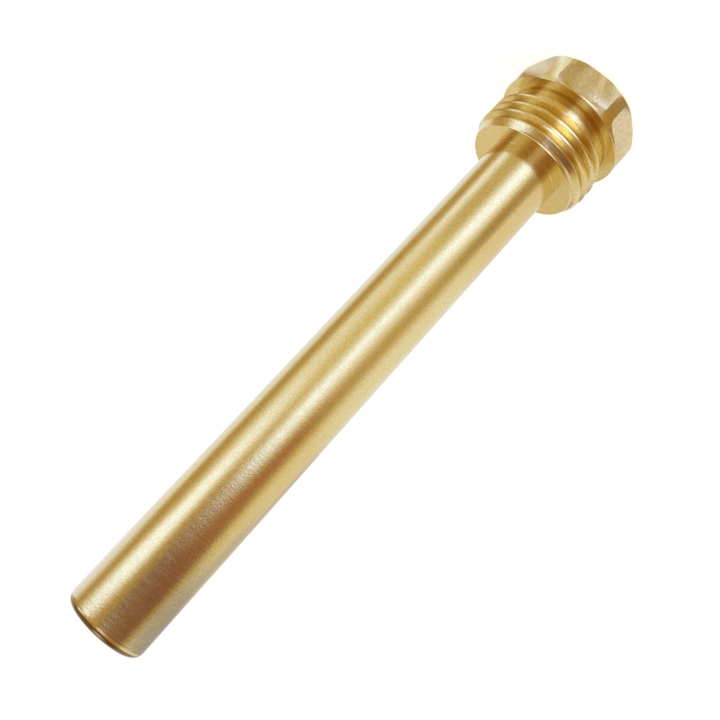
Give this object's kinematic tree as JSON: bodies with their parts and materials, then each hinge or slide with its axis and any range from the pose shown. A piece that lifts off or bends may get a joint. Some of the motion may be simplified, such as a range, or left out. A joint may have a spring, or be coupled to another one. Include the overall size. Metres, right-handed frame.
{
  "type": "thermowell",
  "caption": "Brass immersion pocket: a long closed stem with a blind bore for a temperature probe, a male pipe thread with relief groove, a thin sealing collar and a hexagon-milled head.",
  "frame": {"origin": "centre of the head's end face, on which the part stands", "axes": "+Z along the stem's axis towards its closed tip; one spanner flat faces -Y"},
  "size_m": [0.022, 0.022, 0.1065],
  "materials": {
    "brass": "fine-turned satin"
  },
  "bodies": {
    "root": {"thermowell": "brass"}
  },
  "joints": []
}
